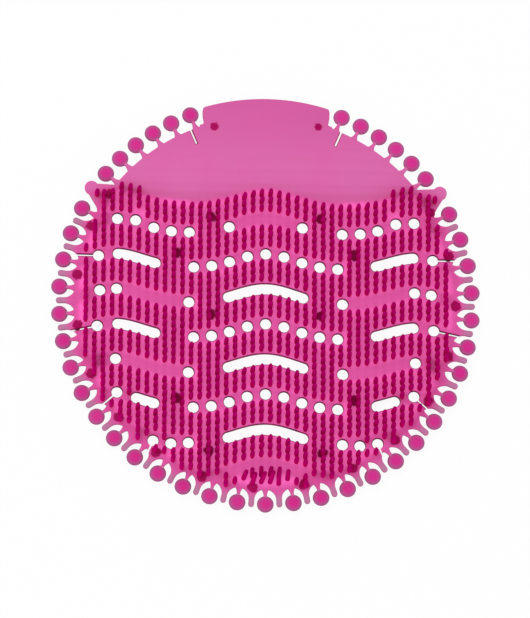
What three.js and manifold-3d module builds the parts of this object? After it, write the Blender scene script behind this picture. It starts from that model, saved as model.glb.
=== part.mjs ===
// A round urinal deodorizer screen, moulded in one piece: a flat web on feet, with a ring of
// tear-off tabs round its edge, rows of drain holes and arched slots along wave lines, and a
// field of upright bristles. +Z is up, +Y points at the plain header, and the feet stand on z = 0.

import * as THREE from "three";
import { mergeGeometries, mergeVertices } from "three/addons/utils/BufferGeometryUtils.js";
import Module from "manifold-3d";

// Lengths are in millimetres. Angles are in degrees, counted from -Y towards +X.

// Heights
const footHeight = 2;
const webThickness = 1.8;
const tallBristle = 7;
const shortBristle = 4.6;

// Tab ring
const ringRadius = 91.7; // tab centres
const tabRadius = 3.7;
const neckWidth = 1.4; // at the disc
const neckRootWidth = 2.6; // at the web
const notchRadius = 4.85; // of the open U round each day tab
const notchDrop = 2; // the U's round bottom is centred this far inside the tab's centre
const dayTabPitch = 7.8;
const dayTabsEachSide = 15;
const fingerReach = 1.4; // of the fingers between the day tabs, past the tab centres
const fingerTipWidth = 2;
const fingerShoulder = 0.5; // the tip's corners are cut back by this much
const monthTabStart = 129;
const monthTabPitch = 5.88;
const monthTabs = 6;
const upperEdgeInset = 6.5; // of the web edge behind the month tabs

// Ears between the two groups of tabs, with their reach and insets counted from the tab centres
const earAngle = 123.8;
const earEndRadius = 3.1;
const earReach = 1.2;
const earTurn = { from: -100, to: 110 };
const earUpperRoot = { angle: 127.9, inset: 6 };

// Header
const headerReach = 1.5; // past the tab centres
const headerHalfAngle = 17.5;
const headerNotch = { angle: 160.7, inset: 5.3, width: 1.9 };
const headerRadius = ringRadius + headerReach;

// The places below are drawn at this ring radius, and move in or out with the real one
const drawnRadius = 91.7;
const layout = (length) => (length * ringRadius) / drawnRadius;

// Wave lines: the drain rows and the bristle rows all follow these
const firstLineY = layout(37.9);
const linePitch = layout(15.97);
const waveDepth = layout(6.3);
const waveLength = layout(67.6);
const waveQuickDepth = layout(0.8); // of a second swing, twice as quick, that fills out the flanks
const waveFall = layout(1.5); // further fall at the ring, seen from the centre line

// Drain openings, each given by its wave line and its distances from the centre line
const holeRadius = 2.45;
const holeRows = [
  { line: 0, places: [16.3, 34, 42, 49.8, 57.9, 66] },
  { line: 1, places: [0, 8.1, 16.1, 24, 32, 74.3] },
  { line: 2, places: [34.1, 66.2, 73.6] },
  { line: 3, places: [0, 8.1, 16.1, 24, 32, 74.7] },
  { line: 4, places: [34.2, 66.5] },
  { line: 5, places: [0, 8.1, 16.1, 24, 32, 65.8] },
  { line: 6, places: [34.1, 41.8, 49.7] },
];
const slotWidth = 4.8;
const centreSlots = [2, 4, 6].map((line) => ({ line, from: -19, to: 19 }));
const sideSlots = [
  { line: 1, from: 46.7, to: 68 },
  { line: 3, from: 46.7, to: 68 },
  { line: 5, from: 47, to: 59.6 },
];
const slitWidth = 0.8;
const drainSlits = [
  { line: 1, place: 74.3, edgeAngle: 103.5 },
  { line: 3, place: 74.7, edgeAngle: 80.5 },
  { line: 5, place: 65.8, edgeAngle: 56.5 },
  { line: 6, place: 49.7, edgeAngle: 37 },
];
const slitInset = { outer: 5.1, inner: 13.3 }; // of the ends from the tab centres
const headerSlitAngle = 156.8;

// Bristles
const bristleBaseRadius = 1.15;
const columnPitch = layout(3.9);
const columnsEachSide = 21;
const rowsPerLine = 5;
const rowStep = 2; // of the rows that the mould has, one in two is modelled, staggered by column
const firstRowLine = -0.7;
const shoulderRowLine = -0.9; // one more row reaches up over the outer crest of the wave
const shoulder = { from: 53, to: 65 };
const lastRowLine = 8.5;
const bristleGap = 0.3; // to a hole or a slot
const bristleEdgeGap = 0.9; // to the outline
const bristleTwist = 40; // degrees for each millimetre up the column, so no corners are in line
const bareBands = [
  { line: 0, from: -12, to: 12 },
  { line: 2, from: 37, to: 63 },
  { line: 4, from: 37, to: 63.5 },
  { line: 7, from: -16, to: 16 },
];
const bareBandWidth = 5;
const shortReach = { from: 3.6, to: 8.5 }; // a bristle grows to full height over this distance

// Feet
const footRadius = 2;
const footTaper = 0.3;
const rimFootInset = 7.3;
const rimFootPitch = 2; // in day tabs
const rimFeet = 15;
const rimFootStart = -14.5; // in day tabs
const innerFeet = [
  { x: 24.5, y: 38.2 },
  { x: 39.3, y: 21.7 },
  { x: 24.5, y: -6 },
  { x: 39.5, y: -44.2 },
  { x: 25, y: -68.2 },
];
const shoulderFeet = [
  { x: -69.4, y: 48.4 },
  { x: 73.5, y: 42 },
];
const headerFeet = { x: 23.2, y: 80.4, radius: 1.5 };

// Facets
const tabFacets = 10;
const notchFacets = 4;
const holeFacets = 9;
const slotEndFacets = 3;
const slotStep = 6.4;
const earFacets = 5;
const headerFacets = 12;
const footFacets = 6;
const bristleFacets = 3;

const sunk = 0.5; // how far the feet reach into the web before they are joined to it
const quarterTurn = 90;
const webTop = footHeight + webThickness;
const radians = THREE.MathUtils.degToRad;

// A point at a radius and angle on the ring, and a distance along it
function ringPoint(angle, radius, along = 0) {
  const a = radians(angle);
  return new THREE.Vector2(
    radius * Math.sin(a) + along * Math.cos(a),
    -radius * Math.cos(a) + along * Math.sin(a),
  );
}

// Points on a circle whose centre lies on the ring; turn 0 points outwards
function ringArc(angle, centre, radius, fromTurn, toTurn, facets) {
  return Array.from({ length: facets + 1 }, (_, i) => {
    const turn = radians(THREE.MathUtils.lerp(fromTurn, toTurn, i / facets));
    return ringPoint(angle, centre + radius * Math.cos(turn), radius * Math.sin(turn));
  });
}

// Half the turn that a neck takes out of a circle, from straight inwards
function neckTurn(width, radius) {
  return 180 - THREE.MathUtils.radToDeg(Math.asin(width / 2 / radius));
}

function tabDisc(angle, neck) {
  const turn = neckTurn(neck, tabRadius);
  return ringArc(angle, ringRadius, tabRadius, -turn, turn, tabFacets - 1);
}

// From the neck's root round the bottom of the U to its side
function notchSide(angle, side) {
  const turn = neckTurn(neckRootWidth, notchRadius);
  const centre = ringRadius - notchDrop;
  const arc = ringArc(angle, centre, notchRadius, side * turn, side * quarterTurn, notchFacets);
  return side < 0 ? arc.reverse() : arc;
}

function dayTab(angle) {
  return [...notchSide(angle, -1), ...tabDisc(angle, neckWidth), ...notchSide(angle, 1)];
}

function fingerTip(angle) {
  const half = fingerTipWidth / 2;
  const tip = ringRadius + fingerReach;
  return [
    ringPoint(angle, tip - fingerShoulder, -half),
    ringPoint(angle, tip, fingerShoulder - half),
    ringPoint(angle, tip, half - fingerShoulder),
    ringPoint(angle, tip - fingerShoulder, half),
  ];
}

function ear() {
  const { from, to } = earTurn;
  const end = ringArc(earAngle, ringRadius + earReach, earEndRadius, from, to, earFacets);
  return [...end, ringPoint(earUpperRoot.angle, ringRadius - earUpperRoot.inset)];
}

function monthTab(angle) {
  const [before, after] = [-1, 1].map((side) =>
    ringPoint(angle, ringRadius - upperEdgeInset, (side * neckRootWidth) / 2),
  );
  return [before, ...tabDisc(angle, neckWidth), after];
}

function headerSide() {
  const { angle, inset, width } = headerNotch;
  const radius = ringRadius - inset;
  const corner = 180 - headerHalfAngle;
  const arc = Array.from({ length: headerFacets / 2 }, (_, i) =>
    ringPoint(corner + (headerHalfAngle * i * 2) / headerFacets, headerRadius),
  );
  return [ringPoint(angle, radius, -width / 2), ringPoint(angle, radius, width / 2), ...arc];
}

const mirrored = (points) => points.map((p) => new THREE.Vector2(-p.x, p.y)).reverse();

const dayAngles = Array.from({ length: dayTabsEachSide }, (_, i) => (i + 1) * dayTabPitch);
const monthAngles = Array.from({ length: monthTabs }, (_, i) => monthTabStart + i * monthTabPitch);

// Half of the outline from the bottom tab's neighbour up to the header, then its mirror image
function webOutline() {
  const side = dayAngles.flatMap((angle) => [
    ...fingerTip(angle - dayTabPitch / 2),
    ...dayTab(angle),
  ]);
  side.splice(-2); // the last day tab's notch ends in the ear's lower flank
  side.push(...ear(), ...monthAngles.flatMap(monthTab), ...headerSide());
  return [...dayTab(0), ...side, ringPoint(180, headerRadius), ...mirrored(side)];
}

function waveY(line, x) {
  const turn = (2 * Math.PI * x) / waveLength;
  const swing = (waveDepth / 2) * (1 - Math.cos(turn));
  const quickSwing = (waveQuickDepth / 2) * (1 - Math.cos(2 * turn));
  return firstLineY - linePitch * line - swing - quickSwing - waveFall * (x / ringRadius) ** 2;
}

// The places on both sides of the centre line, with one on the line itself not repeated
const bothSides = (place) => (place === 0 ? [0] : [-place, place]);

function bothSpans(drawn) {
  const { line } = drawn;
  const [from, to] = [layout(drawn.from), layout(drawn.to)];
  return from < 0 ? [{ line, from, to }] : [{ line, from, to }, { line, from: -to, to: -from }];
}

function onLine(line, drawnPlace) {
  const x = layout(drawnPlace);
  return new THREE.Vector2(x, waveY(line, x));
}

const holes = holeRows.flatMap(({ line, places }) =>
  places.flatMap(bothSides).map((place) => onLine(line, place)),
);
const slots = [...centreSlots, ...sideSlots].flatMap(bothSpans);
const bands = bareBands.flatMap(bothSpans);

function circle(centre, radius, facets, turn = 0) {
  return Array.from({ length: facets }, (_, i) => {
    const a = (2 * Math.PI * (i + 0.5)) / facets + radians(turn);
    return new THREE.Vector2(centre.x + radius * Math.cos(a), centre.y + radius * Math.sin(a));
  });
}

// The middle of a span along its wave line, in steps
function spanPoints({ line, from, to }, step) {
  const steps = Math.max(2, Math.round((to - from) / step));
  return Array.from({ length: steps + 1 }, (_, i) => {
    const x = THREE.MathUtils.lerp(from, to, i / steps);
    return new THREE.Vector2(x, waveY(line, x));
  });
}

function bristleOutline(place) {
  return circle(place, bristleBaseRadius, bristleFacets, bristleTwist * place.y);
}

// A slot of one width along its wave line, with round ends
function slotOutline(slot) {
  const half = slotWidth / 2;
  const middle = spanPoints({ ...slot, from: slot.from + half, to: slot.to - half }, slotStep);
  const last = middle.length - 1;
  const heading = middle.map((_, i) => {
    const ahead = middle[Math.min(i + 1, last)];
    const behind = middle[Math.max(i - 1, 0)];
    return Math.atan2(ahead.y - behind.y, ahead.x - behind.x);
  });
  const offset = (i, turn) =>
    new THREE.Vector2(
      middle[i].x + half * Math.cos(heading[i] + turn),
      middle[i].y + half * Math.sin(heading[i] + turn),
    );
  const lower = middle.map((_, i) => offset(i, -Math.PI / 2));
  const upper = middle.map((_, i) => offset(i, Math.PI / 2)).reverse();
  const cap = (i, start) =>
    Array.from({ length: slotEndFacets - 1 }, (_, k) =>
      offset(i, start + (Math.PI * (k + 1)) / slotEndFacets),
    );
  return [...lower, ...cap(last, -Math.PI / 2), ...upper, ...cap(0, Math.PI / 2)];
}

function distanceToPath(point, path, closed) {
  let nearest = Infinity;
  const segment = new THREE.Line3();
  const target = new THREE.Vector3();
  const p = new THREE.Vector3(point.x, point.y, 0);
  for (let i = closed ? 0 : 1; i < path.length; i++) {
    const a = path[(i + path.length - 1) % path.length];
    segment.start.set(a.x, a.y, 0);
    segment.end.set(path[i].x, path[i].y, 0);
    nearest = Math.min(nearest, segment.closestPointToPoint(p, true, target).distanceTo(p));
  }
  return nearest;
}

function isInside(point, outline) {
  let inside = false;
  outline.forEach((b, i) => {
    const a = outline[(i + outline.length - 1) % outline.length];
    const crosses = a.y > point.y !== b.y > point.y;
    if (crosses && point.x < ((b.x - a.x) * (point.y - a.y)) / (b.y - a.y) + a.x) inside = !inside;
  });
  return inside;
}

const outline = webOutline();
const slotMiddles = slots.map((slot) =>
  spanPoints({ ...slot, from: slot.from + slotWidth / 2, to: slot.to - slotWidth / 2 }, slotStep / 2),
);
const bandMiddles = bands.map((band) => spanPoints(band, slotStep / 2));
const slitPaths = slitLines();
const tabCentres = [0, ...dayAngles, ...monthAngles].flatMap((angle) =>
  bothSides(angle).map((a) => ringPoint(a, ringRadius)),
);

function distanceToHoles(point) {
  return Math.min(...holes.map((hole) => hole.distanceTo(point)));
}

function distanceToPaths(point, paths) {
  return Math.min(...paths.map((path) => distanceToPath(point, path, false)));
}

// The two ends of each cut that lets the web flex, from a drain hole or the header out to the rim
function slitLines() {
  const right = drainSlits.map(({ line, place, edgeAngle }) => [
    onLine(line, place),
    ringPoint(edgeAngle, ringRadius - slitInset.outer),
  ]);
  right.push([
    ringPoint(headerSlitAngle, ringRadius - slitInset.inner),
    ringPoint(headerSlitAngle, ringRadius - slitInset.outer),
  ]);
  return [...right, ...right.map(mirrored)];
}

function standsClear(point) {
  if (!isInside(point, outline)) return false;
  if (tabCentres.some((centre) => centre.distanceTo(point) < notchDrop + notchRadius)) return false;
  const reach = bristleBaseRadius + bristleGap;
  return (
    distanceToPaths(point, slitPaths) > slitWidth / 2 + reach &&
    distanceToHoles(point) > holeRadius + reach &&
    distanceToPaths(point, slotMiddles) > slotWidth / 2 + reach &&
    distanceToPaths(point, bandMiddles) > bareBandWidth / 2 &&
    distanceToPath(point, outline, true) > bristleBaseRadius + bristleEdgeGap
  );
}

// Bristles are short beside the round holes and the bare bands, and full height away from them
function bristleHeight(point) {
  const near = Math.min(distanceToHoles(point), distanceToPaths(point, bandMiddles));
  const grown = THREE.MathUtils.smoothstep(near, shortReach.from, shortReach.to);
  return THREE.MathUtils.lerp(shortBristle, tallBristle, grown);
}

function bristlePlaces() {
  const places = [];
  for (let column = -columnsEachSide; column < columnsEachSide; column++) {
    const x = (column + 0.5) * columnPitch;
    const onShoulder = Math.abs(x) > layout(shoulder.from) && Math.abs(x) < layout(shoulder.to);
    const firstRow = onShoulder ? shoulderRowLine : firstRowLine;
    const rows = Math.floor((lastRowLine - firstRow) * rowsPerLine);
    for (let row = Math.abs(column % rowStep); row < rows; row += rowStep) {
      const place = new THREE.Vector2(x, waveY(firstRow + row / rowsPerLine, x));
      if (standsClear(place)) places.push(place);
    }
  }
  return places;
}

// The sides of a bristle, which stand on its outline in the web's top
function bristle(place) {
  const height = bristleHeight(place);
  const tip = new THREE.Vector3(place.x, place.y, webTop + height);
  const base = bristleOutline(place).map(({ x, y }) => new THREE.Vector3(x, y, webTop));
  const corners = base.flatMap((corner, i) => [corner, base[(i + 1) % base.length], tip]);
  return new THREE.BufferGeometry().setFromPoints(corners);
}

function foot(place, radius = footRadius) {
  const peg = new THREE.CylinderGeometry(radius, radius - footTaper, footHeight + sunk, footFacets);
  peg.rotateX(Math.PI / 2);
  return peg.translate(place.x, place.y, (footHeight + sunk) / 2);
}

function feet() {
  const rim = Array.from({ length: rimFeet }, (_, i) =>
    ringPoint((rimFootStart + rimFootPitch * i) * dayTabPitch, ringRadius - rimFootInset),
  );
  const drawn = (x, y) => new THREE.Vector2(layout(x), layout(y));
  const inner = innerFeet.flatMap(({ x, y }) => [drawn(-x, y), drawn(x, y)]);
  const shoulders = shoulderFeet.map(({ x, y }) => drawn(x, y));
  const header = bothSides(headerFeet.x).map((x) => drawn(x, headerFeet.y));
  return [
    ...[...rim, ...inner, ...shoulders].map((place) => foot(place)),
    ...header.map((place) => foot(place, headerFeet.radius)),
  ];
}

// A flat bar between two points of the drawing, as deep as asked
function bar(from, to, width, bottom, top) {
  const length = from.distanceTo(to);
  const box = new THREE.BoxGeometry(length, width, top - bottom);
  box.rotateZ(Math.atan2(to.y - from.y, to.x - from.x));
  return box.translate((from.x + to.x) / 2, (from.y + to.y) / 2, (top + bottom) / 2);
}

function slits() {
  return slitPaths.map(([from, to]) => bar(from, to, slitWidth, footHeight - 1, webTop + 1));
}

const wasm = await Module();
wasm.setup();

// Triangles with nothing but their corners, so that pieces can be put together
function bare(geometry) {
  const plain = geometry.index ? geometry.toNonIndexed() : geometry.clone();
  plain.deleteAttribute("normal");
  plain.deleteAttribute("uv");
  return plain;
}

// Geometries that together are closed, as a solid that can be joined and cut
function solid(geometries) {
  const merged = mergeVertices(mergeGeometries(geometries.map(bare)), 1e-4);
  return new wasm.Manifold(
    new wasm.Mesh({
      numProp: 3,
      vertProperties: merged.getAttribute("position").array,
      triVerts: new Uint32Array(merged.index.array),
    }),
  );
}

// A geometry without its triangles that lie in the web's top
function openTopped(geometry) {
  const position = geometry.getAttribute("position");
  const corners = [];
  for (let i = 0; i < position.count; i += 3) {
    const triangle = [i, i + 1, i + 2].map((k) => new THREE.Vector3().fromBufferAttribute(position, k));
    if (triangle.some((corner) => corner.z < webTop - webThickness / 2)) corners.push(...triangle);
  }
  return new THREE.BufferGeometry().setFromPoints(corners);
}

// The web and its bristles: the web's top is open under each bristle, whose sides close it
function bristledWeb() {
  const openings = [
    ...holes.map((hole) => circle(hole, holeRadius, holeFacets)),
    ...slots.map(slotOutline),
  ];
  const shape = new THREE.Shape(outline);
  shape.holes = openings.map((points) => new THREE.Path(points));
  const web = new THREE.ExtrudeGeometry(shape, { depth: webThickness, bevelEnabled: false });
  const places = bristlePlaces();
  const topShape = new THREE.Shape(outline);
  topShape.holes = [...openings, ...places.map(bristleOutline)].map((points) => new THREE.Path(points));
  const top = new THREE.ShapeGeometry(topShape).translate(0, 0, webTop);
  return solid([openTopped(web.translate(0, 0, footHeight)), top, ...places.map(bristle)]);
}

const screenSolid = bristledWeb().subtract(solid(slits())).add(solid(feet()));

const made = screenSolid.getMesh();
const screenGeometry = new THREE.BufferGeometry();
screenGeometry.setAttribute("position", new THREE.BufferAttribute(made.vertProperties, 3));
screenGeometry.setIndex(new THREE.BufferAttribute(made.triVerts, 1));
const faceted = screenGeometry.toNonIndexed();
faceted.computeVertexNormals();

const softPink = new THREE.MeshStandardMaterial({
  name: "soft_pink_plastic",
  color: 0xd8418f,
  roughness: 0.45,
  metalness: 0,
});

const screen = new THREE.Mesh(faceted, softPink);
screen.name = "screen";

// The origin is under the middle of the screen's box, on the surface that the feet stand on
faceted.computeBoundingBox();
const middle = faceted.boundingBox.getCenter(new THREE.Vector3());
screen.position.set(-middle.x, -middle.y, 0);

const part = new THREE.Group();
part.add(screen);

export default part;
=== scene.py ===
# Looks of a moulded deodorizer screen: web, tabs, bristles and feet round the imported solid.
import math
import random

import bmesh
import bpy
from mathutils import Matrix, Quaternion, Vector


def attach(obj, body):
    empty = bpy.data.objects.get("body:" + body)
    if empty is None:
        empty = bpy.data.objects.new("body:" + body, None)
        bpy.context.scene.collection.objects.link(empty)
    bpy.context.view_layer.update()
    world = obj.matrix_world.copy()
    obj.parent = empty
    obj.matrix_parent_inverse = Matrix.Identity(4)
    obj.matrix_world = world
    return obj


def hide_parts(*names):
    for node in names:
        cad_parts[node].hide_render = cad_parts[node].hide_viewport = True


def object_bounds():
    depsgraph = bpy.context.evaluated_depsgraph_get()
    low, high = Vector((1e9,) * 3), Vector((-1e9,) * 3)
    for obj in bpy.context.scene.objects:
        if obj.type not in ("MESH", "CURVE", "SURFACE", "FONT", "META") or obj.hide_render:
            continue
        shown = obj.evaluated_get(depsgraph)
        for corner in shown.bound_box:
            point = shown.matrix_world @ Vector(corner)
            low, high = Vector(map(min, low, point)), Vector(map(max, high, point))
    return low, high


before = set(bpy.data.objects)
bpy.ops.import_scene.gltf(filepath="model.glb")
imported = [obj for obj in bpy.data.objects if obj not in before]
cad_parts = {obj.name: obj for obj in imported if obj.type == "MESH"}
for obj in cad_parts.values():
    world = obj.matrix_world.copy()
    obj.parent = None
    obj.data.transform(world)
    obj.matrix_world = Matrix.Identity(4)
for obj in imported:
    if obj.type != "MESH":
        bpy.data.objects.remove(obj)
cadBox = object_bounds()

# Sizes are in millimetres and angles in degrees, counted from -Y towards +X, until a mesh is finished.
mm = 0.001
mergeDistance = 1e-4
heights = {"foot": 2.0, "web": 1.8}
webTop = heights["foot"] + heights["web"]

ring = {
    "radius": 91.7,  # tab centres
    "tab": 3.7,
    "neck": 1.4,
    "neckRoot": 3.2,
    "neckShares": (0, 0.08, 0.2, 0.36, 0.6, 1),  # stations up a neck, close together where it flares
    "neckEnd": 0.8,  # of the tab's radius, short of the tab's centre
    "notch": 4.85,
    "notchDrop": 2.0,  # from the tab's centre to the notch's
    "notchSteps": 10,
    "lastNotchTurn": 127,  # the notch below the ear runs further round
    "dayPitch": 7.8,
    "dayTabs": 15,  # on each side of the bottom one
    "fingerReach": 1.4,
    "fingerWidth": 2.6,
    "fingerSteps": 8,
    "monthStart": 129,
    "monthPitch": 5.88,
    "monthTabs": 6,
    "upperInset": 6.5,  # of the edge that carries the month tabs
    "betweenMonths": (0.35, 0.5, 0.65),
}
dayAngles = [ring["dayPitch"] * i for i in range(-ring["dayTabs"], ring["dayTabs"] + 1)]
monthAngles = [ring["monthStart"] + ring["monthPitch"] * i for i in range(ring["monthTabs"])]

wave = {"top": 37.9, "pitch": 15.97, "depth": 6.3, "length": 67.6, "quickDepth": 0.8, "fall": 1.5}

header = {
    "radius": 93.2,
    # angles, and steps out from the tab ring
    "notch": [(160.15, -5.6), (160.7, -5.8), (161.25, -5.4)],
    "shoulder": [(161.5, -2.7), (162.0, 0.1), (162.5, 1.3)],
    # angles along its top edge, on one side
    "start": 163.1,
    "stride": 0.65,
    "strides": 26,
}
drawingShift = cadBox[1].y - header["radius"] * mm  # the tab ring's centre lies this far up +Y


def ringPoint(angle, radius, along=0.0):
    a = math.radians(angle)
    return Vector((radius * math.sin(a) + along * math.cos(a), -radius * math.cos(a) + along * math.sin(a)))


def ringArc(angle, centre, radius, start, end, steps):
    turns = [math.radians(start + (end - start) * i / steps) for i in range(steps + 1)]
    return [ringPoint(angle, centre + radius * math.cos(t), radius * math.sin(t)) for t in turns]


def waveY(line, x):
    turn = 2 * math.pi * x / wave["length"]
    swing = wave["depth"] / 2 * (1 - math.cos(turn)) + wave["quickDepth"] / 2 * (1 - math.cos(2 * turn))
    return wave["top"] - wave["pitch"] * line - swing - wave["fall"] * (x / ring["radius"]) ** 2


def mirrored(points):
    return [Vector((-p.x, p.y)) for p in reversed(points)]


def circle(centre, radius, steps):
    turns = [2 * math.pi * i / steps for i in range(steps)]
    return [centre + Vector((math.cos(t), math.sin(t))) * radius for t in turns]


# Drain holes and slots
drain = {
    "hole": 2.45,  # radius
    "slot": 4.8,  # width
    "slit": 0.8,
    # x of the holes on each line, on one side
    "rows": {
        0: [16.3, 34, 42, 49.8, 57.9, 66],
        1: [0, 8.1, 16.1, 24, 32, 74.3],
        2: [34.1, 66.2, 73.6],
        3: [0, 8.1, 16.1, 24, 32, 74.7],
        4: [34.2, 66.5],
        5: [0, 8.1, 16.1, 24, 32, 65.8],
        6: [34.1, 41.8, 49.7],
    },
    # line, and the x that a slot runs from and to
    "centreSlots": [(2, -19, 19), (4, -19, 19), (6, -19, 19)],
    "sideSlots": [(1, 46.7, 68), (3, 46.7, 68), (5, 47, 59.6)],
    # line and x of the hole that a slit runs to, and its angle at the edge
    "slits": [(1, 74.3, 103.5), (3, 74.7, 80.5), (5, 65.8, 56.5), (6, 49.7, 37.0)],
    "headerSlit": (156.8, 78.4),  # angle, and the radius where it ends
    "slitRim": 86.6,
    "holeSteps": 28,
    "slotSteps": 24,
    "capSteps": 10,
}
# holes that stand a little off their line
nudges = {(0, 57.9): 0.9, (5, 65.8): 0.75, (6, 41.8): -0.8, (6, 49.7): -1.1}
# stretches of the lines that no bristle covers
bareBands = [(0, -12, 12), (2, 37, 63), (4, 37, 63.5), (7, -16, 16)]


def bothSides(spans):
    return spans + [(line, -high, -low) for line, low, high in spans if low > 0]


def spanPoints(line, low, high, steps):
    xs = [low + (high - low) * i / steps for i in range(steps + 1)]
    return [Vector((x, waveY(line, x))) for x in xs]


def holePoint(line, x):
    return Vector((x, waveY(line, x) + nudges.get((line, abs(x)), 0.0)))


holes = [
    holePoint(line, side * x)
    for line, places in drain["rows"].items()
    for x in places
    for side in ((-1, 1) if x else (1,))
]
slots = bothSides(drain["centreSlots"] + drain["sideSlots"])


def slotOutline(line, low, high):
    half = drain["slot"] / 2
    middle = spanPoints(line, low + half, high - half, drain["slotSteps"])
    headings = [
        math.atan2(b.y - a.y, b.x - a.x)
        for a, b in zip(middle[:1] + middle[:-1], middle[1:] + middle[-1:])
    ]

    def offset(i, turn):
        return middle[i] + Vector((math.cos(headings[i] + turn), math.sin(headings[i] + turn))) * half

    quarter = math.pi / 2
    lower = [offset(i, -quarter) for i in range(len(middle))]
    upper = [offset(i, quarter) for i in reversed(range(len(middle)))]
    caps = drain["capSteps"]
    capRight = [offset(len(middle) - 1, -quarter + math.pi * k / caps) for k in range(1, caps)]
    capLeft = [offset(0, quarter + math.pi * k / caps) for k in range(1, caps)]
    return lower + capRight + upper + capLeft


# Outline of the web
def neckTurn(half, radius):
    return 180 - math.degrees(math.asin(half / radius))


def neck(angle, root):
    # up one side of a flared neck into the tab, and down the other
    thin, wide = ring["neck"] / 2, ring["neckRoot"] / 2
    end = ring["radius"] - ring["tab"] * ring["neckEnd"]
    side = [(root + (end - root) * t, thin + (wide - thin) * (1 - t) ** 3) for t in ring["neckShares"]]
    left = [ringPoint(angle, radius, -half) for radius, half in side]
    right = [ringPoint(angle, radius, half) for radius, half in reversed(side)]
    return left + right


def dayNotch(angle, lastTurn=90):
    # the open U round a day tab, with the tab's neck standing up in it
    centre = ring["radius"] - ring["notchDrop"]
    turn = neckTurn(ring["neckRoot"] / 2, ring["notch"])
    down = ringArc(angle, centre, ring["notch"], -90, -turn, ring["notchSteps"])
    up = ringArc(angle, centre, ring["notch"], turn, lastTurn, ring["notchSteps"])
    root = centre - math.sqrt(ring["notch"] ** 2 - (ring["neckRoot"] / 2) ** 2)
    return down[:-1] + neck(angle, root) + up[1:]


def fingerTip(angle):
    half = ring["fingerWidth"] / 2
    return ringArc(angle, ring["radius"] + ring["fingerReach"] - half, half, -90, 90, ring["fingerSteps"])


ear = {
    "angle": 123.4,
    "reach": 1.2,
    "end": 3.1,
    "turns": (-100, 110),
    "steps": 16,
    "root": (127.9, 6.0),  # angle, and the step in from the tab ring
}


def webEdge():
    radius, upper = ring["radius"], ring["radius"] - ring["upperInset"]
    side = []
    for angle in dayAngles[ring["dayTabs"] + 1 :]:
        side += fingerTip(angle - ring["dayPitch"] / 2)
        side += dayNotch(angle, ring["lastNotchTurn"] if angle == dayAngles[-1] else 90)
    side += ringArc(ear["angle"], radius + ear["reach"], ear["end"], *ear["turns"], ear["steps"])
    side += [ringPoint(ear["root"][0], radius - ear["root"][1])]
    for i, angle in enumerate(monthAngles):
        side += neck(angle, upper)
        gap = ring["monthPitch"] if i < len(monthAngles) - 1 else 0
        side += [ringPoint(angle + gap * t, upper) for t in ring["betweenMonths"] if gap]
    side += [ringPoint(angle, radius + out) for angle, out in header["notch"] + header["shoulder"]]
    topAngles = [header["start"] + header["stride"] * i for i in range(header["strides"])]
    side += [ringPoint(angle, header["radius"]) for angle in topAngles]
    return dayNotch(0) + side + [ringPoint(180, header["radius"])] + mirrored(side)


def cross(a, b, c, d):
    # where segment ab meets segment cd, as the share of the way from a to b
    r, s, q = b - a, d - c, c - a
    size = r.x * s.y - r.y * s.x
    if abs(size) < 1e-9:
        return None
    t, u = (q.x * s.y - q.y * s.x) / size, (q.x * r.y - q.y * r.x) / size
    return t if 0 <= t <= 1 and 0 <= u <= 1 else None


def cutIn(edge, start, end, width, hole):
    # opens the edge along a slit that runs in from start to end, and round the drain hole there
    way = (end - start).normalized()
    side = Vector((-way.y, way.x)) * width / 2
    lead = way * 4  # the cut starts well outside
    found = []
    for shift in (side, -side):
        met = []
        for i, a in enumerate(edge):
            b = edge[(i + 1) % len(edge)]
            t = cross(a, b, start - lead + shift, end + shift)
            if t is not None:
                met.append((i, a.lerp(b, t)))
        found.append(min(met, key=lambda m: (m[1] - end).length))
    first, second = sorted(found, key=lambda f: f[0])
    if hole:
        base = math.atan2(-way.y, -way.x)
        gap = math.asin(width / 2 / hole)
        steps = drain["holeSteps"]
        turns = [base + gap + (2 * math.pi - 2 * gap) * i / steps for i in range(steps + 1)]
        inner = [end + Vector((math.cos(t), math.sin(t))) * hole for t in turns]
    else:
        inner = [end - side, end + side]
    if (inner[0] - first[1]).length > (inner[-1] - first[1]).length:
        inner.reverse()
    return edge[: first[0] + 1] + [first[1]] + inner + [second[1]] + edge[second[0] + 1 :]


def flatSolid(name, outlines, thickness, edge, bottom):
    # a plate between rounded edges, from closed outlines in millimetres
    data = bpy.data.curves.new(name, "CURVE")
    data.dimensions = "2D"
    data.fill_mode = "BOTH"
    data.extrude = thickness / 2 - edge
    data.bevel_depth = edge
    data.bevel_resolution = 1
    data.offset = -edge
    for points in outlines:
        spline = data.splines.new("POLY")
        spline.points.add(len(points) - 1)
        spline.points.foreach_set("co", [c for p in points for c in (p.x, p.y, 0.0, 1.0)])
        spline.use_cyclic_u = True
    flat = bpy.data.objects.new(name + "Curve", data)
    bpy.context.scene.collection.objects.link(flat)
    bpy.context.view_layer.update()
    mesh = bpy.data.meshes.new_from_object(flat.evaluated_get(bpy.context.evaluated_depsgraph_get()))
    bpy.data.objects.remove(flat)
    bm = bmesh.new()
    bm.from_mesh(mesh)
    bmesh.ops.translate(bm, verts=bm.verts, vec=(0, 0, bottom + thickness / 2))
    bmesh.ops.remove_doubles(bm, verts=bm.verts, dist=mergeDistance)
    bmesh.ops.recalc_face_normals(bm, faces=bm.faces)
    return bm


def finishPiece(name, bm, materials, sharpAngle):
    # from millimetres round the tab ring's centre to metres in the part's frame
    bmesh.ops.scale(bm, verts=bm.verts, vec=(mm, mm, mm))
    bmesh.ops.translate(bm, verts=bm.verts, vec=(0, drawingShift, 0))
    mesh = bpy.data.meshes.new(name)
    bm.to_mesh(mesh)
    bm.free()
    mesh.shade_smooth()
    mesh.set_sharp_from_angle(angle=math.radians(sharpAngle))
    piece = bpy.data.objects.new(name, mesh)
    bpy.context.scene.collection.objects.link(piece)
    for material in materials:
        mesh.materials.append(material)
    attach(piece, "root")
    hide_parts("screen")
    return piece


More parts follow.
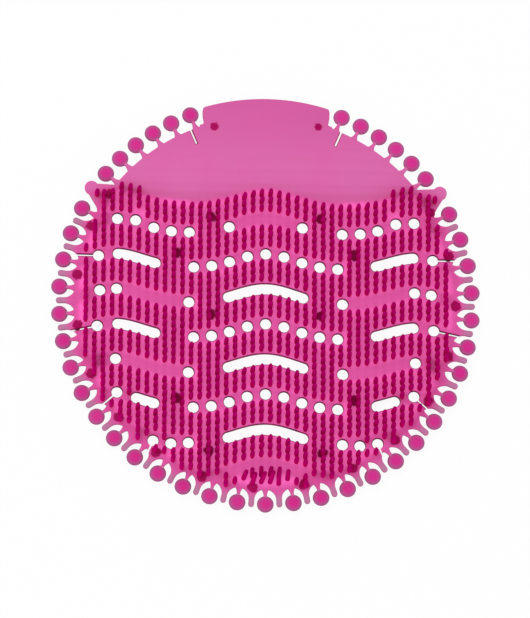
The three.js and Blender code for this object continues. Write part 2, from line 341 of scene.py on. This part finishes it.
webShape = {
    "edge": 0.3,
    "wallTilt": 0.97,  # faces that point less straight up or down than this are walls
    "wallMargin": 2.0,
    "sameHole": 0.1,
    "sharpAngle": 35,
}


def buildWeb(material, wallShadeMaterial):
    edge = webEdge()
    opened = []
    for line, place, angle in drain["slits"]:
        for side in (1, -1):
            hole = holePoint(line, side * place)
            edge = cutIn(edge, ringPoint(side * angle, drain["slitRim"]), hole, drain["slit"], drain["hole"])
            opened.append(hole)
    angle, inner = drain["headerSlit"]
    for side in (1, -1):
        rim, end = ringPoint(side * angle, drain["slitRim"]), ringPoint(side * angle, inner)
        edge = cutIn(edge, rim, end, drain["slit"], None)
    closed = [h for h in holes if min((h - o).length for o in opened) > webShape["sameHole"]]
    outlines = [edge] + [circle(h, drain["hole"], drain["holeSteps"]) for h in closed]
    outlines += [slotOutline(*slot) for slot in slots]
    bm = flatSolid("web", outlines, heights["web"], webShape["edge"], heights["foot"])
    inner = ring["radius"] - ring["upperInset"] - webShape["wallMargin"]
    for face in bm.faces:
        # walls and rounded edges of the holes and slots, dark as painted shade
        if abs(face.normal.z) < webShape["wallTilt"] and face.calc_center_median().xy.length < inner:
            face.material_index = 1
    print("web:", len(bm.verts), "vertices,", len(closed), "closed holes,", len(slots), "slots")
    return finishPiece("screen_web", bm, [material, wallShadeMaterial], webShape["sharpAngle"])


def addCopies(template, places):
    # every copy of a small shape in one mesh, each with its own transform and shade
    bm = bmesh.new()
    mesh = bpy.data.meshes.new("template")
    template.to_mesh(mesh)
    template.free()
    shade = bm.verts.layers.float.new("shade")
    done = 0
    for matrix, value in places:
        bm.from_mesh(mesh)
        bm.verts.ensure_lookup_table()
        new = bm.verts[done:]
        bmesh.ops.transform(bm, matrix=matrix, verts=new)
        for v in new:
            v[shade] = value
        done = len(bm.verts)
    bpy.data.meshes.remove(mesh)
    return bm


tabShape = {
    "rim": 0.75,
    "crown": 1.1,
    "top": [(0, 1), (0.5, 0.97), (0.75, 0.88)],  # shares of the radius and of the crown
    "edge": [(0.88, 0.95), (0.96, 0.62), (1, 0.15)],  # shares of the radius and of the rim
    "underside": 0.85,
    "steps": 28,
    "lean": 2,
    "sharpAngle": 60,
    "seed": 7,
}


def buildTabs(material):
    # a disc with a low crown and a round rim, spun from its profile
    disc = bmesh.new()
    profile = [(ring["tab"] * out, tabShape["crown"] * up) for out, up in tabShape["top"]]
    profile += [(ring["tab"] * out, tabShape["rim"] * up) for out, up in tabShape["edge"]]
    profile += [(x, -z * tabShape["underside"]) for x, z in reversed(profile)]
    verts = [disc.verts.new((x, 0, z)) for x, z in profile]
    edges = [disc.edges.new(pair) for pair in zip(verts, verts[1:])]
    bmesh.ops.spin(
        disc, geom=verts + edges, cent=(0, 0, 0), axis=(0, 0, 1), angle=2 * math.pi,
        steps=tabShape["steps"], use_merge=True,
    )
    bmesh.ops.remove_doubles(disc, verts=disc.verts, dist=mergeDistance)
    bmesh.ops.recalc_face_normals(disc, faces=disc.faces)
    rng = random.Random(tabShape["seed"])
    places = []
    middle = heights["foot"] + heights["web"] / 2
    for angle in dayAngles + monthAngles + [-a for a in monthAngles]:
        p = ringPoint(angle, ring["radius"])
        turn = Matrix.Rotation(math.radians(angle), 4, "Z")
        lean = Matrix.Rotation(math.radians(rng.uniform(-tabShape["lean"], tabShape["lean"])), 4, "X")
        places.append((Matrix.Translation((p.x, p.y, middle)) @ turn @ lean, rng.random()))
    bm = addCopies(disc, places)
    print("tabs:", len(places))
    return finishPiece("screen_tabs", bm, [material], tabShape["sharpAngle"])


bristles = {
    "base": 1.1,
    "tip": 1.02,
    "long": 1.44,  # along the column, as a share of the width
    "sides": 8,
    "round": 0.22,
    "sunk": 0.3,
    "tall": 7.0,
    "short": 5.4,
    "columnPitch": 3.9,
    "columns": 21,  # on each side
    "rowsPerLine": 5,
    "firstLine": -0.7,
    "shoulderLine": -0.9,  # the field starts higher between these two x
    "shoulder": (53, 65),
    "lastLine": 8.5,
    "gap": 0.3,  # to holes, slots and slits
    "edgeGap": 0.9,
    "bareBand": 2.5,
    "grow": (3.6, 8.5),  # short at the first distance from a hole or band, tall from the second
    "slotPathSteps": 12,
    "bandPathSteps": 10,
    "lean": 0.9,
    # bent over below the last band, and darker: they lose most of the painted lighter sides
    "fan": {"line": 7.2, "end": 7.6, "reach": 13, "back": (-36, -24), "aside": (-2, 13), "dark": 3},
    "earPegs": [(-75.2, 48.2), (75.2, 47.4)],
    "sharpAngle": 70,
    "seed": 31,
}


def toPath(p, path):
    nearest = 1e9
    for a, b in zip(path, path[1:]):
        along = max(0.0, min(1.0, (p - a).dot(b - a) / (b - a).length_squared))
        nearest = min(nearest, (p - a.lerp(b, along)).length)
    return nearest


def inside(p, edge):
    odd = False
    for a, b in zip(edge, edge[1:] + edge[:1]):
        if (a.y > p.y) != (b.y > p.y) and p.x < (b.x - a.x) * (p.y - a.y) / (b.y - a.y) + a.x:
            odd = not odd
    return odd


def smoothstep(low, high, x):
    t = max(0.0, min(1.0, (x - low) / (high - low)))
    return t * t * (3 - 2 * t)


def bristlePlaces():
    b = bristles
    edge = webEdge()
    half = drain["slot"] / 2
    slotMiddles = [spanPoints(n, low + half, high - half, b["slotPathSteps"]) for n, low, high in slots]
    bandMiddles = [spanPoints(*band, b["bandPathSteps"]) for band in bothSides(bareBands)]
    slitPaths = []
    for line, place, angle in drain["slits"]:
        for side in (-1, 1):
            slitPaths.append([holePoint(line, side * place), ringPoint(side * angle, drain["slitRim"])])
    reach = b["base"] + b["gap"]
    tabs = [ringPoint(side * angle, ring["radius"]) for angle in dayAngles + monthAngles for side in (-1, 1)]
    found = []
    for column in range(-b["columns"], b["columns"]):
        x = (column + 0.5) * b["columnPitch"]
        high = b["shoulder"][0] < abs(x) < b["shoulder"][1]
        first = b["shoulderLine"] if high else b["firstLine"]
        for row in range(int((b["lastLine"] - first) * b["rowsPerLine"])):
            line = first + row / b["rowsPerLine"]
            below = line > b["fan"]["line"] and abs(x) < b["fan"]["reach"]
            p = Vector((x, waveY(line, x)))
            if below and line > b["fan"]["end"]:
                continue
            if not inside(p, edge) or toPath(p, edge + edge[:1]) < b["base"] + b["edgeGap"]:
                continue
            if min((p - tab).length for tab in tabs) < ring["notchDrop"] + ring["notch"]:
                continue
            toHole = min((p - h).length for h in holes)
            toBand = min(toPath(p, path) for path in bandMiddles)
            toSlot = min(toPath(p, path) for path in slotMiddles)
            toSlit = min(toPath(p, path) for path in slitPaths)
            if toHole < drain["hole"] + reach or toSlot < half + reach or toBand < b["bareBand"]:
                continue
            if toSlit < drain["slit"] / 2 + reach:
                continue
            grown = smoothstep(*b["grow"], min(toHole, toBand))
            found.append((p, b["short"] + (b["tall"] - b["short"]) * grown, below))
    return found + [(Vector(place), b["short"], False) for place in b["earPegs"]]


def buildBristles(material):
    b = bristles
    pin = bmesh.new()
    made = bmesh.ops.create_cone(
        pin, cap_ends=True, segments=b["sides"], radius1=b["base"], radius2=b["tip"], depth=1
    )
    top = [e for e in pin.edges if all(v.co.z > 0 for v in e.verts)]
    bmesh.ops.translate(pin, verts=made["verts"], vec=(0, 0, 0.5))
    crown = pin.verts.layers.float.new("crown")
    bmesh.ops.bevel(
        pin, geom=top, offset=b["round"], segments=2, profile=0.5, affect="EDGES", material=-1,
        clamp_overlap=True,
    )
    for v in pin.verts:
        v[crown] = v.co.z
    rng = random.Random(b["seed"])
    places = []
    for p, height, fanned in bristlePlaces():
        back = rng.uniform(*b["fan"]["back"]) if fanned else rng.gauss(0, b["lean"])
        aside = rng.uniform(*b["fan"]["aside"]) if fanned else rng.gauss(0, b["lean"])
        lean = Matrix.Rotation(math.radians(back), 4, "X") @ Matrix.Rotation(math.radians(aside), 4, "Y")
        spin = Matrix.Rotation(math.pi / b["sides"], 4, "Z")
        stretch = Matrix.Diagonal((1, 1 if fanned else b["long"], height + b["sunk"], 1))
        place = Matrix.Translation((p.x, p.y, webTop - b["sunk"]))
        places.append((place @ lean @ stretch @ spin, rng.random() - (b["fan"]["dark"] if fanned else 0)))
    bm = addCopies(pin, places)
    print("bristles:", len(places), "with", len(bm.faces), "faces")
    return finishPiece("screen_bristles", bm, [material], b["sharpAngle"])


feet = {
    "radius": 2.0,
    "taper": 0.3,
    "sides": 20,
    "round": 0.12,
    "sunk": 0.3,
    "rim": 84.4,
    "rimFeet": 15,  # behind every second finger
    "rimStart": -14.5,
    "inner": [(24.5, 38.2), (39.3, 21.7), (24.5, -6), (39.5, -44.2), (25, -68.2)],
    "shoulders": [(-69.4, 48.4), (73.5, 42)],
    "header": (23.2, 80.4, 1.5),  # these two are smaller
    "sharpAngle": 35,
}


def footPlaces():
    rim = [
        (ringPoint((feet["rimStart"] + 2 * i) * ring["dayPitch"], feet["rim"]), feet["radius"])
        for i in range(feet["rimFeet"])
    ]
    inner = [(Vector((s * x, y)), feet["radius"]) for x, y in feet["inner"] for s in (-1, 1)]
    shoulders = [(Vector(place), feet["radius"]) for place in feet["shoulders"]]
    x, y, small = feet["header"]
    return rim + inner + shoulders + [(Vector((s * x, y)), small) for s in (-1, 1)]


def buildFeet(material):
    foot = bmesh.new()
    depth = heights["foot"] + feet["sunk"]
    made = bmesh.ops.create_cone(
        foot, cap_ends=True, segments=feet["sides"], radius1=1 - feet["taper"] / 2, radius2=1, depth=depth
    )
    bmesh.ops.translate(foot, verts=made["verts"], vec=(0, 0, depth / 2))
    low = [e for e in foot.edges if all(v.co.z < 0.01 for v in e.verts)]
    bmesh.ops.bevel(
        foot, geom=low, offset=feet["round"], segments=2, profile=0.5, affect="EDGES", material=-1
    )
    places = [
        (Matrix.Translation((p.x, p.y, 0)) @ Matrix.Diagonal((radius, radius, 1, 1)), 0.5)
        for p, radius in footPlaces()
    ]
    bm = addCopies(foot, places)
    print("feet:", len(places))
    return finishPiece("screen_feet", bm, [material], feet["sharpAngle"])


# Shader maths: a wrapped socket takes part in Python expressions
class Field:
    def __init__(self, tree, socket):
        self.tree = tree
        self.socket = socket

    def node(self, kind, settings=None, inputs=None, output=0):
        made = self.tree.nodes.new(kind)
        for key, value in (settings or {}).items():
            setattr(made, key, value)
        for key, value in (inputs or {}).items():
            if isinstance(value, Field):
                self.tree.links.new(value.socket, made.inputs[key])
            else:
                made.inputs[key].default_value = value
        return Field(self.tree, made.outputs[output])

    def maths(self, operation, *values):
        return self.node("ShaderNodeMath", {"operation": operation}, dict(enumerate(values)))

    def __add__(self, other):
        return self.maths("ADD", self, other)

    def __radd__(self, other):
        return self.maths("ADD", other, self)

    def __sub__(self, other):
        return self.maths("SUBTRACT", self, other)

    def __rsub__(self, other):
        return self.maths("SUBTRACT", other, self)

    def __mul__(self, other):
        return self.maths("MULTIPLY", self, other)

    def __rmul__(self, other):
        return self.maths("MULTIPLY", other, self)

    def __truediv__(self, other):
        return self.maths("DIVIDE", self, other)

    def __rtruediv__(self, other):
        return self.maths("DIVIDE", other, self)

    def step(self, low, high):
        settings = {"interpolation_type": "SMOOTHSTEP", "clamp": True}
        return self.node("ShaderNodeMapRange", settings, {0: self, 1: low, 2: high, 3: 0.0, 4: 1.0})

    def mixed(self, colourA, colourB):
        # from colour A where the mask is 0 to colour B where it is 1
        settings = {"data_type": "RGBA", "clamp_factor": True}
        return self.node("ShaderNodeMix", settings, {0: self, 6: colourA, 7: colourB}, 2)


def linear(c):
    return c / 255 / 12.92 if c <= 10 else ((c / 255 + 0.055) / 1.055) ** 2.4


def srgb(r, g, b):
    return (linear(r), linear(g), linear(b), 1.0)


pinks = {
    "web": srgb(228, 90, 170),
    "header": srgb(222, 109, 175),
    "headerTop": srgb(214, 95, 163),
    "paintedLightBetweenBristles": srgb(240, 104, 188),
    "glow": srgb(246, 106, 194),
    "bristle": srgb(168, 0, 94),
    "bristleSidePaintedLight": srgb(214, 0, 122),
    "foot": srgb(170, 0, 90),
    "paintedWallShade": srgb(96, 0, 56),
    "tab": srgb(214, 42, 140),
    "tabRimPaintedLight": srgb(172, 90, 140),
    "finger": srgb(192, 124, 162),
    "dark": (0.0, 0.0, 0.0, 1.0),
}


def newMaterial(name, roughness, shine=0.06):
    material = bpy.data.materials.new(name)
    material.use_nodes = True
    tree = material.node_tree
    shader = tree.nodes["Principled BSDF"]
    shader.inputs["Roughness"].default_value = roughness
    shader.inputs["Specular IOR Level"].default_value = shine
    here = Field(tree, None)
    position = here.node("ShaderNodeTexCoord", output="Object")
    return material, shader, here, position


def plug(material, field, shader, socket):
    material.node_tree.links.new(field.socket, shader.inputs[socket])


def noise(here, position, scale, detail=2.0):
    return here.node("ShaderNodeTexNoise", None, {"Vector": position, "Scale": scale, "Detail": detail})


skin = {"scale": 1400.0, "strength": 0.15, "depth": 0.04}


def grain(here, position, shader, material):
    # the faint skin of a moulded surface
    height = noise(here, position, skin["scale"])
    settings = {"Strength": skin["strength"], "Distance": skin["depth"] * mm, "Height": height}
    plug(material, here.node("ShaderNodeBump", None, settings), shader, "Normal")


def ringXY(here, position):
    # millimetres from the tab ring's centre
    split = here.node("ShaderNodeSeparateXYZ", None, {0: position})
    along = Field(here.tree, split.socket.node.outputs[1])
    return split * 1000.0, along * 1000.0 - drawingShift / mm


# Each pair says where a change starts and ends, in millimetres or, on the lines, in drain lines
webLook = {
    "roughness": 0.42,
    "headerShade": (55.0, 92.0),
    "fieldStart": (-1.0, -0.8),
    "rimFade": (81.0, 85.5),
    "onLine": (0.08, 0.3),
    "calm": 0.75,
    "standing": 26.0,  # bristles stand through an even drain line here
    "standingShift": 14.0,  # and this much further out through an odd one
    "standingFade": (4.0, 8.0),
    "stripes": (0.2, 0.8),
    "fingersBelow": (40.0, 52.0),
    "fingerFade": (86.0, 91.0),
    "patchScale": 60.0,
    "patches": (0.35, 0.7),
    "patchShare": 0.2,
    "markScale": 420.0,
    "markRagged": 2.6,
    "markEdge": (-0.1, 0.8),
    "glow": 0.36,
}


def footMark(here, x, y, position):
    # feet under the web show through it, with uneven edges
    ragged = noise(here, position, webLook["markScale"])
    flat = here.node("ShaderNodeCombineXYZ", None, {0: x, 1: y, 2: 0.0})
    nearest = None
    for p, radius in footPlaces():
        away = here.node("ShaderNodeVectorMath", {"operation": "DISTANCE"}, {0: flat, 1: (p.x, p.y, 0)}, 1)
        away = away - (radius - feet["radius"])
        nearest = away if nearest is None else here.maths("MINIMUM", nearest, away)
    low, high = webLook["markEdge"]
    nearest = nearest + (ragged - 0.5) * webLook["markRagged"]
    return 1.0 - nearest.step(feet["radius"] + low, feet["radius"] + high)


def webMaterial():
    look = webLook
    material, shader, here, position = newMaterial("pinkWeb", look["roughness"])
    x, y = ringXY(here, position)
    turn = x * (2 * math.pi / wave["length"])
    swing = (1.0 - here.maths("COSINE", turn)) * (wave["depth"] / 2)
    swing = swing + (1.0 - here.maths("COSINE", turn * 2.0)) * (wave["quickDepth"] / 2)
    line = (wave["top"] - swing - x * x * (wave["fall"] / ring["radius"] ** 2) - y) / wave["pitch"]
    out = here.maths("SQRT", x * x + y * y)
    field = line.step(*look["fieldStart"])
    pegged = field * (1.0 - out.step(*look["rimFade"]))
    # painted light and glow kept lower along the drain lines, but not where bristles stand between their
    # holes
    lineNumber = here.maths("ROUND", line)
    onLine = 1.0 - here.maths("ABSOLUTE", line - lineNumber).step(*look["onLine"])
    odd = here.maths("ABSOLUTE", lineNumber - here.maths("ROUND", lineNumber / 2.0) * 2.0)
    middle = look["standing"] + odd * look["standingShift"]
    standing = 1.0 - here.maths("ABSOLUTE", here.maths("ABSOLUTE", x) - middle).step(*look["standingFade"])
    pegged = pegged * (1.0 - onLine * (1.0 - standing) * look["calm"])
    stripes = 0.5 + 0.5 * here.maths("COSINE", x * (2 * math.pi / bristles["columnPitch"]))
    colour = y.step(*look["headerShade"]).mixed(pinks["header"], pinks["headerTop"])
    colour = field.mixed(colour, pinks["web"])
    # painted light: the web between the bristle columns is painted brighter, standing in for light through
    # the thin web and offsetting the bristles' shade
    colour = (pegged * stripes.step(*look["stripes"])).mixed(colour, pinks["paintedLightBetweenBristles"])
    # the fingers are paler towards their tips
    below = 1.0 - y.step(*look["fingersBelow"])
    colour = (out.step(*look["fingerFade"]) * below).mixed(colour, pinks["finger"])
    patches = noise(here, position, look["patchScale"], 3.0)
    colour = (patches.step(*look["patches"]) * look["patchShare"]).mixed(colour, pinks["web"])
    mark = footMark(here, x, y, position)
    plug(material, mark.mixed(colour, pinks["foot"]), shader, "Base Color")
    # painted glow: emission stands in for the light that the thin web passes on between the bristles
    glow = (pegged * (1.0 - mark)).mixed(pinks["dark"], pinks["glow"])
    plug(material, glow, shader, "Emission Color")
    shader.inputs["Emission Strength"].default_value = look["glow"]
    grain(here, position, shader, material)
    return material


bristleLook = {"roughness": 0.5, "crown": (0.86, 0.97), "shade": 0.2}


def bristleMaterial():
    # the blunt ends darker and the sides painted lighter: painted light that evens out the lit ends and the
    # shaded sides; the dark ends also stand for thick plastic seen end-on
    material, shader, here, position = newMaterial("crimsonBristle", bristleLook["roughness"], 0.0)
    shade = here.node("ShaderNodeAttribute", {"attribute_name": "shade"}, None, 2)
    crown = here.node("ShaderNodeAttribute", {"attribute_name": "crown"}, None, 2)
    sides = 1.0 - crown.step(*bristleLook["crown"]) + shade * bristleLook["shade"]
    plug(material, sides.mixed(pinks["bristle"], pinks["bristleSidePaintedLight"]), shader, "Base Color")
    grain(here, position, shader, material)
    return material


tabLook = {
    "roughness": 0.36,
    "months": (122.0, 124.0),
    "rim": (0.4, 0.96),  # shares of the tab's radius
    "shade": 0.15,
}


def tabMaterial():
    # a greyer rim round each tab, painted light for the refraction at its rounded edge, from the distance to
    # the nearest tab's centre
    material, shader, here, position = newMaterial("pinkTab", tabLook["roughness"])
    x, y = ringXY(here, position)
    radius = here.maths("SQRT", x * x + y * y)
    angle = here.maths("ABSOLUTE", here.maths("ARCTAN2", x, y * -1.0)) * (180 / math.pi)
    day = angle - here.maths("ROUND", angle / ring["dayPitch"]) * ring["dayPitch"]
    past = angle - ring["monthStart"]
    month = past - here.maths("ROUND", past / ring["monthPitch"]) * ring["monthPitch"]
    isMonth = angle.step(*tabLook["months"])
    local = (day * (1.0 - isMonth) + month * isMonth) * (math.pi / 180)
    across = radius * here.maths("SINE", local)
    out = radius * here.maths("COSINE", local) - ring["radius"]
    away = here.maths("SQRT", across * across + out * out)
    start, end = tabLook["rim"]
    colour = away.step(ring["tab"] * start, ring["tab"] * end).mixed(pinks["tab"], pinks["tabRimPaintedLight"])
    shade = here.node("ShaderNodeAttribute", {"attribute_name": "shade"}, None, 2)
    plug(material, (shade * tabLook["shade"]).mixed(colour, pinks["web"]), shader, "Base Color")
    grain(here, position, shader, material)
    return material


darkLook = {"roughness": 0.45, "scale": 220.0, "patches": (0.3, 0.7)}


def darkMaterial(name, colourA, colourB):
    material, shader, here, position = newMaterial(name, darkLook["roughness"])
    patches = noise(here, position, darkLook["scale"]).step(*darkLook["patches"])
    plug(material, patches.mixed(colourA, colourB), shader, "Base Color")
    grain(here, position, shader, material)
    return material


# the walls of the holes and slots get a dark colour as painted shade
buildWeb(webMaterial(), darkMaterial("paintedShadeWall", pinks["paintedWallShade"], pinks["bristle"]))
buildTabs(tabMaterial())
buildBristles(bristleMaterial())
buildFeet(darkMaterial("darkFoot", pinks["foot"], pinks["bristle"]))


# Camera, as the photograph was taken: nearly overhead, from the front left, with a long lens
camera = {
    "azimuth": -13.8,
    "elevation": 75.93,
    "roll": 0.52,
    "distance": 4.0,
    "sensor": 36,
    "rows": 618,  # of the picture
    "pixel": 0.4432,  # millimetres on the web
    "aim": (-0.34, -3.2),
    "clip": (0.1, 20),
}


def placeCamera():
    data = bpy.data.cameras.new("camera")
    data.sensor_fit = "AUTO"
    data.sensor_width = camera["sensor"]
    data.lens = camera["sensor"] * camera["distance"] / (camera["rows"] * camera["pixel"] * mm)
    data.clip_start, data.clip_end = camera["clip"]
    a, e = math.radians(camera["azimuth"]), math.radians(camera["elevation"])
    back = Vector((math.sin(a) * math.cos(e), -math.cos(a) * math.cos(e), math.sin(e)))
    turn = Vector((0, 0, 1)).rotation_difference(back)
    seat = bpy.data.objects.new("camera", data)
    bpy.context.scene.collection.objects.link(seat)
    seat.rotation_mode = "QUATERNION"
    seat.rotation_quaternion = turn @ Quaternion((0, 0, 1), math.radians(camera["roll"]))
    aim = Vector((camera["aim"][0] * mm, camera["aim"][1] * mm + drawingShift, webTop * mm))
    seat.location = aim + back * camera["distance"]
    bpy.context.scene.camera = seat


light = {"world": 0.78, "key": 7.2, "keySize": 1.2, "keyFrom": (-0.5, 0.35, 1.6)}


def placeLights():
    world = bpy.data.worlds.new("studio")
    bpy.context.scene.world = world
    world.use_nodes = True
    world.node_tree.nodes["Background"].inputs[0].default_value = (1, 1, 1, 1)
    world.node_tree.nodes["Background"].inputs[1].default_value = light["world"]
    data = bpy.data.lights.new("softbox", "AREA")
    data.shape = "SQUARE"
    data.size = light["keySize"]
    data.energy = light["key"]
    lamp = bpy.data.objects.new("softbox", data)
    bpy.context.scene.collection.objects.link(lamp)
    lamp.location = light["keyFrom"]
    lamp.rotation_mode = "QUATERNION"
    lamp.rotation_quaternion = Vector(lamp.location).to_track_quat("Z", "Y")


ground = {"size": 4, "shade": 0.97, "roughness": 0.9, "seen": 0.92}


def placeFloor():
    # white to the camera, and still with the screen's shadow on it
    bm = bmesh.new()
    bmesh.ops.create_grid(bm, x_segments=1, y_segments=1, size=ground["size"])
    mesh = bpy.data.meshes.new("floor")
    bm.to_mesh(mesh)
    bm.free()
    floor = bpy.data.objects.new("floor", mesh)
    bpy.context.scene.collection.objects.link(floor)
    material = bpy.data.materials.new("whiteFloor")
    material.use_nodes = True
    tree = material.node_tree
    shader = tree.nodes["Principled BSDF"]
    shader.inputs["Base Color"].default_value = (ground["shade"],) * 3 + (1,)
    shader.inputs["Roughness"].default_value = ground["roughness"]
    here = Field(tree, None)
    path = here.node("ShaderNodeLightPath", output="Is Camera Ray")
    glossy = Field(tree, path.socket.node.outputs["Is Glossy Ray"])
    clear = Field(tree, path.socket.node.outputs["Is Transmission Ray"])
    seen = here.maths("MINIMUM", path + glossy + clear, 1.0) * ground["seen"]
    white = here.node("ShaderNodeEmission", None, {"Color": (1, 1, 1, 1), "Strength": 1.0})
    both = here.node("ShaderNodeMixShader", None, {0: seen, 1: Field(tree, shader.outputs[0]), 2: white})
    tree.links.new(both.socket, tree.nodes["Material Output"].inputs["Surface"])
    mesh.materials.append(material)


placeCamera()
placeLights()
placeFloor()
bpy.context.scene.view_settings.view_transform = "Standard"
print("camera, lights and floor are in place")
